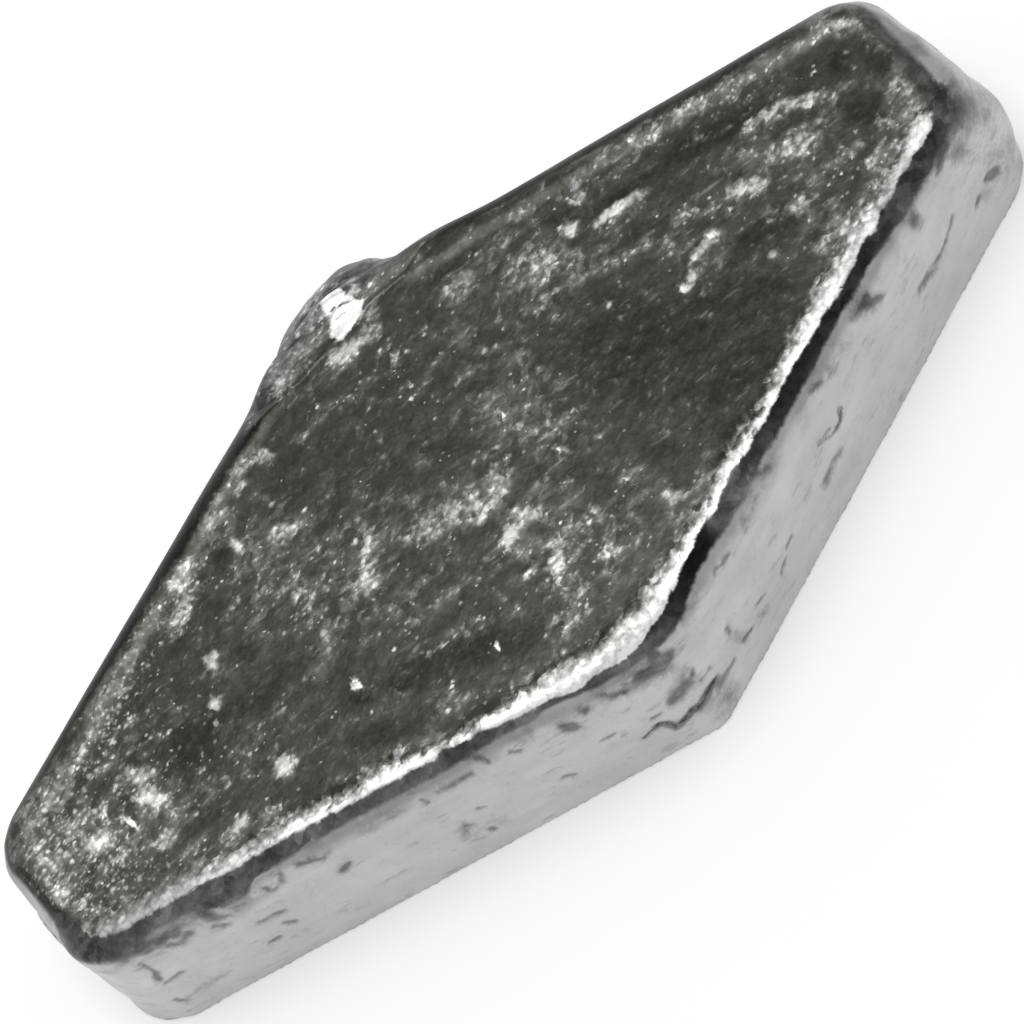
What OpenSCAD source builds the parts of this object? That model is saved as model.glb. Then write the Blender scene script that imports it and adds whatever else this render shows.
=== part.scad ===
// Flat diamond fishing sinker: a soft lead casting with blunt ends, and the
// line tube and end collars that carry the line through its long diagonal.
// Millimetres. The base lies on z = 0, the long diagonal runs along X, and
// the cut-off gate is on the +Y corner.

/* [Casting] */
// Length of the base over the two blunt ends
body_len = 50; // [40:0.1:80]
// Width of the base across the two wide corners
body_w = 24.2; // [21:0.1:34]
// Width of the base at each blunt end
end_w = 8.2; // [7.6:0.1:12]
// Thickness from the base to the face
body_t = 7.3; // [6.6:0.1:11]
// Slope of the sides from upright, in degrees
draft = 5; // [3:0.5:10]
// Rounding of the rim round the face
rim_r = 1.4; // [0.8:0.1:1.6]
// Rounding in plan of the four end corners
end_corner_r = 2.7; // [1.8:0.1:3.6]
// Rounding in plan of the two wide corners of the base
wide_corner_r = 1.2; // [0.6:0.1:3]
// Rounding in plan of the two wide corners of the face
face_corner_r = 13; // [4:0.5:20]

/* [Gate] */
// How far inside the face's wide corner the cut facet starts
facet_in = 2.7; // [1.6:0.1:3.2]
// Fall of the cut facet below the face, in degrees
facet_fall = 24; // [15:1:35]
// Width of the stub at its root
stub_w = 6.8; // [3:0.1:9]
// Distance of the stub from the middle of the casting
stub_x = 0.6; // [0:0.1:2]
// How far the stub stands out past the wide corner of the base
stub_out = 0.8; // [0.4:0.1:2]
// Thickness of the stub at its root
stub_t = 5.6; // [3:0.1:6.2]

/* [Line tube] */
// Bore that the line runs through
line_bore_d = 1.8; // [1.2:0.1:2]
// Wall of the tube
tube_wall = 0.25; // [0.2:0.05:0.4]
// How far the rolled lip opens beyond the bore
lip_flare = 0.3; // [0.2:0.05:0.5]

/* [End collars] */
// Outside diameter of each collar
collar_d = 4; // [3.8:0.1:4.6]
// Thickness of each collar along the line
collar_t = 1.4; // [1.2:0.1:1.8]
// How far the collar's outer face lies inside the end of the base
collar_in = 0.3; // [0:0.05:0.4]
// Chamfer round the collar's outer edge
collar_chamfer = 0.25; // [0.1:0.05:0.4]

/* [Fits] */
// Clearance between the tube and what it passes through
tube_gap = 0.05; // [0.02:0.01:0.1]
// Clearance between each collar and its seat in the casting
seat_gap = 0.05; // [0.02:0.01:0.1]

/* [Hidden] */

// Overrun of every cut past the solid it opens
over = 1;
// Height of the flat rim at the foot of the draft
foot_t = 0.2;
// Facets round a full turn of the corners in plan, of the rim's section, and of the stub's nose
plan_facets = 96;
rim_facets = 40;
nose_facets = 32;
// Facets round the tube, the collars and their seats
round_facets = 64;
// Share of the stub's root that its round nose keeps, in width and in height
stub_nose_share = 0.45;
// Share of the stub's thickness that it stands above the base
stub_lift_share = 0.12;

half_len = body_len / 2;
half_w = body_w / 2;
half_end = end_w / 2;
// Angle in plan between a long side and the X axis
side_angle = atan((half_w - half_end) / half_len);
axis_z = body_t / 2;
// Height of the rim rounding's centre, and its distance inside the base outline
rim_z = body_t - rim_r;
rim_inset = rim_z * tan(draft) + rim_r / cos(draft);
// The face's wide corner, where the two long sides would meet without rounding
face_half_w = half_w - body_t * tan(draft) / cos(side_angle);
facet_y = face_half_w - facet_in;

tube_r = line_bore_d / 2 + tube_wall;
tube_hole_r = tube_r + tube_gap;
collar_r = collar_d / 2;
// Plane of the collars' outer faces and of the rolled lips, and the floor of each seat
lip_face_x = half_len - collar_in;
seat_x = lip_face_x - collar_t;

// Plan positions of the base outline's corners, moved inward by a distance
function end_corner(inset) =
    let (x = half_len - inset)
    [x, half_w - inset / cos(side_angle) - x * tan(side_angle)];
function wide_corner(inset) = [0, half_w - inset / cos(side_angle)];

// The same child at a point of the +X +Y quarter and at its mirror images
module at_corners(p)
{
    for (mx = [0, 1], my = [0, 1])
        mirror([mx, 0, 0])
            mirror([0, my, 0])
                translate(p)
                    children();
}

// One corner of the foot: a thin sector, between two headings, that rounds the base outline
module foot_corner(corner_r, from, to)
{
    rotate_extrude(start = from, angle = to - from, $fn = plan_facets)
        polygon([
            [0, 0],
            [corner_r, 0],
            [corner_r - foot_t * tan(draft), foot_t],
            [0, foot_t],
        ]);
}

// One corner of the rim: an arc, between two headings, whose section rounds the face's edge
module rim_corner(corner_r, from, to)
{
    translate([0, 0, rim_z])
        rotate_extrude(start = from, angle = to - from, $fn = plan_facets)
            translate([corner_r - rim_r, 0])
                intersection() {
                    circle(r = rim_r, $fn = rim_facets);
                    square([rim_r, rim_r]);
                }
}

// The casting as it left the mould, without gate or line hole
module tapered_diamond()
{
    // Heading of the long side's outward normal
    side_heading = 90 - side_angle;
    hull() {
        at_corners(end_corner(end_corner_r))
            foot_corner(end_corner_r, 0, side_heading);
        at_corners(wide_corner(wide_corner_r))
            foot_corner(wide_corner_r, side_heading, 90);
        at_corners(end_corner(rim_inset + end_corner_r - rim_r))
            rim_corner(end_corner_r, 0, side_heading);
        at_corners(wide_corner(rim_inset + face_corner_r - rim_r))
            rim_corner(face_corner_r, side_heading, 90);
    }
}

// Everything above the slanted cut that took the gate off
module facet_cut()
{
    translate([0, facet_y, body_t])
        rotate([-facet_fall, 0, 0])
            translate([-half_len, 0, 0])
                cube([body_len, body_w, body_t]);
}

// The stub of the gate: rooted inside the wide corner, with a round nose
module gate_stub()
{
    nose_w = stub_w * stub_nose_share;
    nose_r = stub_t * stub_nose_share / 2;
    nose_y = half_w + stub_out - nose_r;
    foot_z = stub_t * stub_lift_share;
    translate([stub_x, 0, foot_z])
        hull() {
            translate([-stub_w / 2, facet_y, 0])
                cube([stub_w, nose_y - facet_y - nose_r, stub_t]);
            translate([-nose_w / 2, nose_y, stub_t / 2])
                rotate([0, 90, 0])
                    cylinder(h = nose_w, r = nose_r, $fn = nose_facets);
        }
}

module along_line(x = 0)
{
    translate([x, 0, axis_z])
        rotate([0, 90, 0])
            children();
}

// Lead casting: the diamond, its cut gate, and the hole and seats for the line tube
module cast_body()
{
    color("dimgray")
        difference() {
            union() {
                tapered_diamond();
                gate_stub();
            }
            facet_cut();
            along_line(-half_len - over)
                cylinder(h = body_len + 2 * over, r = tube_hole_r, $fn = round_facets);
            for (side = [0, 1])
                mirror([side, 0, 0])
                    along_line(seat_x)
                        cylinder(h = collar_t + collar_in + over, r = collar_r + seat_gap, $fn = round_facets);
        }
}

// Thin tube that lines the hole, its lips rolled over the two collars
module line_tube()
{
    bore_r = line_bore_d / 2;
    lip_x = lip_face_x - lip_flare;
    color("silver")
        along_line()
            rotate_extrude($fn = round_facets)
                polygon([
                    [bore_r, -lip_x],
                    [bore_r + lip_flare, -lip_face_x],
                    [tube_r + lip_flare, -lip_face_x],
                    [tube_r, -lip_x],
                    [tube_r, lip_x],
                    [tube_r + lip_flare, lip_face_x],
                    [bore_r + lip_flare, lip_face_x],
                    [bore_r, lip_x],
                ]);
}

// Collar that spreads the rolled lip's pull over the blunt end of the casting
module collar()
{
    mouth_r = tube_hole_r + lip_flare;
    along_line(seat_x)
        rotate_extrude($fn = round_facets)
            polygon([
                [tube_hole_r, 0],
                [collar_r, 0],
                [collar_r, collar_t - collar_chamfer],
                [collar_r - collar_chamfer, collar_t],
                [mouth_r, collar_t],
                [tube_hole_r, collar_t - lip_flare],
            ]);
}

module right_collar()
{
    color("darkgray")
        collar();
}

module left_collar()
{
    color("darkgray")
        mirror([1, 0, 0])
            collar();
}

cast_body();
line_tube();
left_collar();
right_collar();
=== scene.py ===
import itertools
import math
from types import SimpleNamespace

import bpy
import numpy as np
from mathutils import Matrix, Vector
from mathutils.bvhtree import BVHTree


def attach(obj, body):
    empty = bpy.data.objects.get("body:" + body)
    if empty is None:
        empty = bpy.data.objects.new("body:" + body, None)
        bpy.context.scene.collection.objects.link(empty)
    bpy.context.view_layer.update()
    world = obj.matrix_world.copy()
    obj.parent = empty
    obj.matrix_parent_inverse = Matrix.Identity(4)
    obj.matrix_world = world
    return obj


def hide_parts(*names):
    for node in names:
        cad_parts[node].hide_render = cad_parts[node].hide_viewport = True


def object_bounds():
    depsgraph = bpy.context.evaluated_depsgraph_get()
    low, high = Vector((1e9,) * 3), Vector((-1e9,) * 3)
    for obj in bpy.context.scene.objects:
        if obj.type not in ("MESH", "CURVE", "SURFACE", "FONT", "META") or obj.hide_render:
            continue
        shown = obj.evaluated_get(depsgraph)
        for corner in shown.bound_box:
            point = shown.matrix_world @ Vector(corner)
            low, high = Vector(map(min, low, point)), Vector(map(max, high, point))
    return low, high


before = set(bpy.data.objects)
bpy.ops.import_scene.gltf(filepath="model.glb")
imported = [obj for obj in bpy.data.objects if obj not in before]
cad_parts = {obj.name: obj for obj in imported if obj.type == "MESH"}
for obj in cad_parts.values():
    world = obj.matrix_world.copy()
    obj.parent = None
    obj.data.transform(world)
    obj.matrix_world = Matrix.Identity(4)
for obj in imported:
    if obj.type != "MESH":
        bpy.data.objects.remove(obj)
cad_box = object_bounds()

MM = 0.001
PHOTO_PX = 1024

# The casting's sizes, as in the CAD source
HALF_LEN, HALF_W, HALF_END, BODY_T = 25.0, 12.1, 4.1, 7.3
DRAFT = math.radians(5)
RIM_R, END_R, FACE_CORNER_R = 1.4, 2.7, 13.0
AXIS_Z, SEAT_R, SEAT_DEPTH = 3.65, 2.05, 1.7
# Where the facet behind the gate begins
FACET_Y = 8.73
# The slope of the long sides in plan
SIDE_SLOPE = math.atan((HALF_W - HALF_END) / HALF_LEN)
# Distance from the base outline in to the flat face's border
BORDER_IN = (BODY_T - RIM_R) * math.tan(DRAFT) + RIM_R / math.cos(DRAFT)
# The profile where the rim rounding ends and the side begins, see place_on_casting
RIM_END = RIM_R * (math.pi / 2 - DRAFT)

# Camera, fitted to the photograph
CAM_TILT, CAM_TURN, CAM_ROLL = math.radians(29.8), math.radians(0.2), math.radians(-45.15)
CAM_TARGET = Vector((-0.07, -0.53, AXIS_Z))
CAM_DISTANCE = 125.0
PX_PER_MM = 25.08
SENSOR_WIDTH = 36


def camera_axes():
    """The camera's right, up and backward directions in the part's frame."""
    side = math.sin(CAM_TILT)
    back = Vector((side * math.sin(CAM_TURN), -side * math.cos(CAM_TURN), math.cos(CAM_TILT)))
    up = (Vector((0, 0, 1)) - back * back.z).normalized()
    right = up.cross(back)
    cosine, sine = math.cos(CAM_ROLL), math.sin(CAM_ROLL)
    return right * cosine + up * sine, up * cosine - right * sine, back


RIGHT, UP, BACK = camera_axes()
EYE = CAM_TARGET + BACK * CAM_DISTANCE
FOCAL_PX = PX_PER_MM * CAM_DISTANCE


def add_object(name, data):
    obj = bpy.data.objects.new(name, data)
    bpy.context.scene.collection.objects.link(obj)
    return obj


def add_camera():
    data = bpy.data.cameras.new("camera")
    data.sensor_width = SENSOR_WIDTH
    data.lens = FOCAL_PX * data.sensor_width / PHOTO_PX
    data.clip_start, data.clip_end = 0.005, 5
    camera = add_object("camera", data)
    camera.matrix_world = Matrix.Translation(EYE * MM) @ Matrix((RIGHT, UP, BACK)).transposed().to_4x4()
    bpy.context.scene.camera = camera


# Smooth steps and seeded noise
def smooth_step(value, low, high):
    t = np.clip((value - low) / (high - low), 0, 1)
    return t * t * (3 - 2 * t)


def bell(value, middle, width):
    return np.exp(-((value - middle) / width) ** 2)


# Large whole numbers that scatter the hash of a lattice corner and a seed
CORNER_SCATTER = (73856093, 19349663, 83492791)
SEED_SCATTER, REMIX = 668265263, 1274126177


def lattice_noise(points, seed):
    """Smooth noise from -1 to 1, about one feature a unit, at each row of points."""
    cell = np.floor(points).astype(np.int64)
    part = points - cell
    part = part ** 3 * (part * (part * 6 - 15) + 10)
    total = np.zeros(len(points))
    for corner in itertools.product((0, 1), repeat=3):
        scattered = np.bitwise_xor.reduce((cell + corner) * CORNER_SCATTER, axis=1)
        draw = (scattered ^ seed * SEED_SCATTER) & 0xFFFFFFFF
        draw = (draw ^ (draw >> 13)) * REMIX & 0xFFFFFFFF
        draw = (draw ^ (draw >> 16)) & 0xFFFF
        total += np.prod(np.where(corner, part, 1 - part), axis=1) * (draw / 32767.5 - 1)
    return total


def cloud_noise(points, size, seed, octaves=3):
    """Noise from about -1 to 1 whose largest features are size mm across."""
    total = np.zeros(len(points))
    for k in range(octaves):
        total += lattice_noise(points * 2 ** k / size, seed + k) / 2 ** k
    return total / 1.6


def wander(points, size, reach, seeds):
    """The points moved by noise of the given size, by up to about the reach."""
    return points + reach * np.column_stack([cloud_noise(points, size, seed, 2) for seed in seeds])


# Where a point lies on the casting
BORDER_STEP = 0.2
END_ARC_POINTS, WIDE_ARC_POINTS = 12, 24


def face_border():
    """The flat face's outline as points in plan, and each one's station.

    Stations run along the outline in mm, from the front corner round the right
    end (positive) and round the left end (negative) to the back corner.
    """
    heading = math.pi / 2 - SIDE_SLOPE
    end_r, wide_r = END_R - RIM_R, FACE_CORNER_R - RIM_R
    end_x = HALF_LEN - BORDER_IN - end_r
    end_y = HALF_W - (BORDER_IN + end_r) / math.cos(SIDE_SLOPE) - end_x * math.tan(SIDE_SLOPE)
    wide_y = HALF_W - (BORDER_IN + wide_r) / math.cos(SIDE_SLOPE)
    turns = [(end_x + end_r, 0)]
    for angle in np.linspace(0, heading, END_ARC_POINTS):
        turns.append((end_x + end_r * math.cos(angle), end_y + end_r * math.sin(angle)))
    for angle in np.linspace(heading, math.pi / 2, WIDE_ARC_POINTS):
        turns.append((wide_r * math.cos(angle), wide_y + wide_r * math.sin(angle)))
    quarter = [turns[0]]
    for (x0, y0), (x1, y1) in zip(turns, turns[1:]):
        n = max(1, round(math.dist((x0, y0), (x1, y1)) / BORDER_STEP))
        quarter += [(x0 + (x1 - x0) * t / n, y0 + (y1 - y0) * t / n) for t in range(1, n + 1)]
    quarter = np.array(quarter)
    along = np.concatenate([[0], np.cumsum(np.hypot(*np.diff(quarter, axis=0).T))])
    points, stations = [], []
    for sx, sy in itertools.product((1, -1), (-1, 1)):
        points.append(quarter * (sx, sy))
        stations.append(sx * (along[-1] + sy * along))
    return np.vstack(points), np.concatenate(stations)


def nearest_on_border(points, border, batch=4000):
    """Each point's distance in plan to the border, and the nearest border point's index."""
    away, nearest = np.empty(len(points)), np.empty(len(points), int)
    for start in range(0, len(points), batch):
        part = slice(start, start + batch)
        squared = ((points[part, None, :2] - border[None]) ** 2).sum(2)
        nearest[part] = squared.argmin(1)
        away[part] = np.sqrt(squared.min(1))
    return away, nearest


def inside_border(points):
    """Whether each point lies inside the flat face's outline in plan."""
    wide_r = FACE_CORNER_R - RIM_R
    x, y = np.abs(points[:, 0]), np.abs(points[:, 1])
    side_in = (HALF_W - y) * math.cos(SIDE_SLOPE) - x * math.sin(SIDE_SLOPE) - BORDER_IN
    arc_in = wide_r - np.hypot(x, y - (HALF_W - (BORDER_IN + wide_r) / math.cos(SIDE_SLOPE)))
    long_in = np.where(x < wide_r * math.sin(SIDE_SLOPE), np.minimum(side_in, arc_in), side_in)
    return np.minimum(long_in, HALF_LEN - x - BORDER_IN) > 0


def place_on_casting(points):
    """Each point's profile and station.

    The profile is the distance over the surface from the flat face's border:
    negative on the face, 0 to 2.1 over the rim's rounding, 8 at the foot.
    """
    border, stations = face_border()
    away, nearest = nearest_on_border(points, border)
    z = points[:, 2]
    over_rim = RIM_R * np.arcsin(np.clip(away / RIM_R, 0, math.cos(DRAFT)))
    down = RIM_END + (BODY_T - RIM_R - z) / math.cos(DRAFT)
    above = np.where(inside_border(points), -away, over_rim)
    profile = np.where(z < BODY_T - RIM_R, np.maximum(down, RIM_END), above)
    return profile, stations[nearest]


# The rim's look at stations round the border, judged on the photograph. After its
# station a row gives, as profiles in mm, where the face's look ends, where the haze beside
# the rim begins and where the bright edge runs from and to, a painted highlight with some
# wear. Then come the edge's strength, the profile where the dark band under it ends, and
# the band's tone; the band is painted shade.
RIM_COLUMNS = ("face_to", "haze_from", "bright_from", "bright_to", "gleam", "hollow_to", "hollow_tone")
RIM = (
    (-53.1, 0.7, -0.3, 1.6, 2, 0.2, 1.6, 0.2), (-49, 0.1, 0, 1.6, 2, 0, 1.6, 0.13),
    (-48, 0, -0.2, 1.6, 2, 0, 1.6, 0.12), (-46, 0.2, -0.6, 1.6, 2, 0, 1.6, 0.14),
    (-45, 0.2, -0.9, 1.6, 2, 0, 1.6, 0.13), (-42, 0.15, -0.9, 1.6, 2, 0, 1.6, 0.13),
    (-41, 0.3, -1, 1.6, 2, 0, 1.6, 0.14), (-38, 0.3, -0.8, 1.6, 2, 0, 1.6, 0.14),
    (-36, 0.4, -0.9, 1.6, 2, 0, 1.6, 0.14), (-32, 0.6, -1, 1.6, 2, 0, 1.6, 0.16),
    (-30.2, 0.9, -1.2, 1.6, 2, 0, 1.6, 0.2), (-28.6, 0.85, -1.2, 1.2, 1.3, 0, 1.05, 0.2),
    (-28.2, 0.75, -1, 1.2, 1.3, 0, 1, 0.2), (-27, 0.65, -1, 1.2, 1.3, 0, 0.92, 0.2),
    (-26, 0.55, -0.8, 1.2, 1.3, 0, 0.85, 0.2), (-25.6, 0.2, -0.4, 1.2, 1.3, 0, 1, 0.26),
    (-25.2, -0.1, -0.5, 1.2, 1.3, 0, 1.3, 0.28), (-24.6, -0.1, -0.9, 0, 0.1, 0.3, 1.9, 0.27),
    (-24, 0, -0.9, -0.3, 0.3, 0.5, 1.6, 0.27), (-23, 0, -0.7, -0.4, 0.5, 0.6, 1.25, 0.28),
    (-22, 0, -0.6, -0.45, 0.48, 0.62, 1.05, 0.3), (-21, 0, -0.5, -0.35, 0.4, 0.6, 1.05, 0.32),
    (-20, 0, -0.5, -0.3, 0.42, 0.62, 1.1, 0.3), (-19, 0, -0.5, -0.25, 0.4, 0.75, 1.7, 0.32),
    (-18, 0, -0.4, -0.12, 0.45, 0.82, 1.65, 0.32), (-17, 0, -0.4, -0.05, 0.45, 0.8, 1.25, 0.27),
    (-16, 0, -0.3, 0, 0.46, 0.85, 1.1, 0.29), (-15, 0, -0.5, -0.25, 0.35, 0.95, 1.1, 0.33),
    (-14, 0, -0.5, -0.15, 0.45, 0.95, 1.05, 0.31), (-13, 0, -0.2, 0.05, 0.48, 0.9, 1.05, 0.32),
    (-12, 0, -0.2, 0.08, 0.48, 0.9, 1.05, 0.3), (-11, 0, -0.6, -0.25, 0.48, 1, 1.05, 0.3),
    (-10, 0.05, -0.4, -0.2, 0.48, 1, 1.05, 0.3), (-9.4, 0.1, -0.4, 0, 0.5, 1, 1.1, 0.28),
    (-9, 0.1, -0.5, 0.05, 0.5, 1, 1.1, 0.33), (-8.5, 0.2, -0.4, 0.2, 0.35, 0.6, 1.1, 0.3),
    (-8, 0.15, -0.3, 0.1, 0.5, 1, 1.1, 0.26), (-7.4, 0.1, -0.2, 0.1, 0.48, 1, 1.05, 0.26),
    (-7, 0.15, -0.1, 0.2, 0.42, 0.8, 0.98, 0.25), (-6.6, 0.15, -0.1, 0.1, 0.48, 1, 0.95, 0.26),
    (-6, 0.05, -0.3, 0.05, 0.55, 1, 0.95, 0.28), (-5, 0, -0.4, -0.15, 0.6, 1, 1.05, 0.32),
    (-4, 0, -0.5, -0.25, 0.65, 1, 1.05, 0.32), (-3, 0, -0.4, -0.35, 0.82, 1, 1.05, 0.26),
    (-2.6, 0, -0.4, -0.4, 0.9, 1, 1.12, 0.24), (-2.2, 0, -0.4, -0.2, 0.8, 1, 1.2, 0.26),
    (-1.6, 0.05, -0.3, -0.1, 0.85, 1, 1.3, 0.28), (-1, 0, -0.3, -0.1, 0.95, 1, 1.4, 0.3),
    (-0.5, 0, -0.3, -0.1, 0.98, 1, 1.45, 0.28), (0, 0, -0.3, -0.15, 0.95, 1, 1.5, 0.27),
    (0.3, 0, -0.3, -0.2, 0.88, 1, 1.6, 0.25), (1, 0, -0.3, -0.2, 0.78, 1, 1.6, 0.21),
    (1.5, 0, -0.4, -0.25, 0.68, 1, 1.5, 0.17), (2, 0, -0.4, -0.3, 0.55, 1, 1.25, 0.14),
    (3, 0, -0.4, -0.2, 0.4, 1, 0.98, 0.12), (3.6, 0, -0.4, -0.1, 0.38, 1, 0.98, 0.11),
    (4, 0, -0.7, -0.15, 0.3, 1, 0.98, 0.12), (4.5, 0, -0.6, -0.15, 0.3, 1, 1, 0.15),
    (5, 0, -0.6, 0, 0.25, 0.85, 1.05, 0.27), (5.5, 0, -0.6, 0, 0.48, 1, 1.1, 0.28),
    (6, 0, -0.9, -0.1, 0.25, 0.95, 1.1, 0.28), (6.5, 0, -0.9, 0, 0.3, 0.95, 1.1, 0.3),
    (7, 0, -0.6, -0.3, 0.15, 0.9, 1.1, 0.32), (7.5, 0, -0.6, -0.25, 0.3, 0.95, 1.1, 0.24),
    (8, 0, -0.3, -0.1, 0.4, 1, 1, 0.18), (8.6, 0, -0.2, 0, 0.4, 0.85, 1, 0.22),
    (9, 0, -0.3, 0.05, 0.42, 0.95, 1.05, 0.22), (9.4, 0, -0.2, 0.05, 0.42, 0.95, 1.05, 0.18),
    (10, 0, -0.1, 0.05, 0.38, 0.95, 1.05, 0.16), (11, 0, -0.2, 0.02, 0.35, 0.95, 1.05, 0.15),
    (11.5, 0, -0.5, -0.1, 0.3, 1, 1.02, 0.14), (12.5, 0, -0.8, -0.15, 0.38, 1, 1, 0.15),
    (13, 0, -0.9, -0.3, 0.45, 1, 1, 0.17), (14, 0, -0.8, -0.4, 0.45, 1, 1, 0.15),
    (15, 0, -0.8, -0.35, 0.5, 1, 1.02, 0.16), (15.6, 0, -0.7, -0.3, 0.5, 0.95, 1.02, 0.17),
    (15.9, 0, -0.2, 0.1, 0.5, 0.8, 1, 0.18), (16.4, 0, -1.1, -0.15, 0.5, 0.9, 1, 0.15),
    (17, 0, -1, -0.5, 0.4, 0.85, 1.05, 0.16), (17.5, 0, -1, -0.4, 0.4, 0.85, 1.1, 0.18),
    (18, 0, -1, -0.1, 0.55, 1, 1.15, 0.2), (18.5, 0, -1.1, -0.15, 0.45, 0.75, 1.2, 0.22),
    (19, 0, -1, 0, 0.45, 0.6, 1.25, 0.25), (19.5, 0, -0.8, 0.05, 0.45, 0.6, 1.3, 0.26),
    (20.1, 0, -0.9, 0, 0.4, 0.7, 1.35, 0.24), (20.5, 0, -1.1, 0, 0.45, 0.7, 1.35, 0.24),
    (21, 0, -1.1, 0, 0.42, 0.6, 1.35, 0.24), (21.5, 0, -0.9, -0.2, 0.5, 1, 1.25, 0.2),
    (22.5, 0, -1, -0.2, 0.62, 1, 1.25, 0.22), (23, 0, -1.5, -0.1, 0.25, 0.7, 1.15, 0.26),
    (23.4, -0.2, -1.5, 0, 0.1, 0, 1.1, 0.24), (24, -0.4, -1.4, 0, 0.1, 0, 0.7, 0.22),
    (24.4, -0.45, -1.4, 0, 0.1, 0, 0.25, 0.21), (25, -0.45, -1.2, 0.3, 0.4, 0, 0.3, 0.2),
    (26, -0.3, -0.8, 0.3, 0.4, 0, 0.45, 0.21), (27, -0.1, -0.5, 0.3, 0.4, 0, 0.65, 0.23),
    (28, 0.1, -0.8, 0.3, 0.4, 0, 0.8, 0.26), (28.6, 0.4, -0.8, 1.2, 1.3, 0, 0.9, 0.33),
    (30, 0.55, -0.8, 1.6, 2, 0, 1.5, 0.33), (31.5, 0.35, -0.3, 1.6, 2, 0, 1.6, 0.19),
    (40, 0.4, -0.1, 1.6, 2, 0, 1.6, 0.16), (42, 0.5, 0.2, 1.6, 2, 0, 1.6, 0.13),
    (46, 0.5, 0.2, 1.6, 2, 0, 1.6, 0.12), (53.1, 0.7, -0.3, 1.6, 2, 0.2, 1.6, 0.2),
)
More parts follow.
